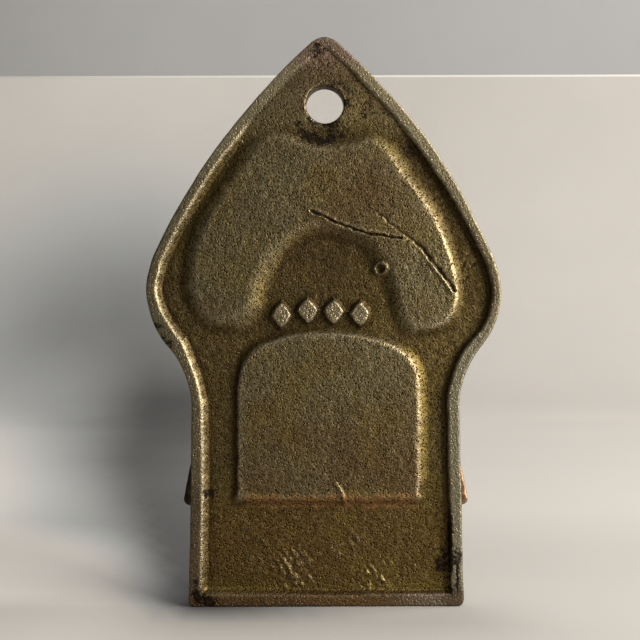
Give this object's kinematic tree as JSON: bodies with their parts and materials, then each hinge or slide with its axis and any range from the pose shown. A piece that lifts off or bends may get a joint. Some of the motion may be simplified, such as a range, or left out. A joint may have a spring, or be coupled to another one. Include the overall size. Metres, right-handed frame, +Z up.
{
  "type": "letter clip",
  "caption": "Wall-hanging cast letter clip: pointed back plate with a hanging hole and a sprung, hinged front jaw that grips papers.",
  "frame": {"origin": "centre of the hanging hole, in the plane of the back rim that lies on the wall", "axes": "+Z up to the pointed tip, +Y back to the wall, the jaw is on the -Y side"},
  "size_m": [0.068, 0.0208, 0.108],
  "materials": {
    "plated_casting": "worn grey-green plating over sand-cast bronze, brown and olive patina in the hollows",
    "bronze_casting": "dark coppery bronze, brighter on worn edges",
    "pin_steel": "dull turned steel",
    "spring_steel": "oiled spring wire"
  },
  "bodies": {
    "plate": {"back_plate": "plated_casting", "hinge_pin": "pin_steel", "torsion_spring": "spring_steel"},
    "jaw": {"front_jaw": "bronze_casting"}
  },
  "joints": [
    {"name": "jaw_hinge", "type": "hinge", "parent": "plate", "child": "jaw", "pos_m": [0, -0.0105, -0.044], "axis": [-1, 0, 0], "range_deg": [0, 22], "stiffness_Nm_per_rad": 0.5, "springref_deg": -34.38, "deforming": ["torsion_spring"]}
  ]
}
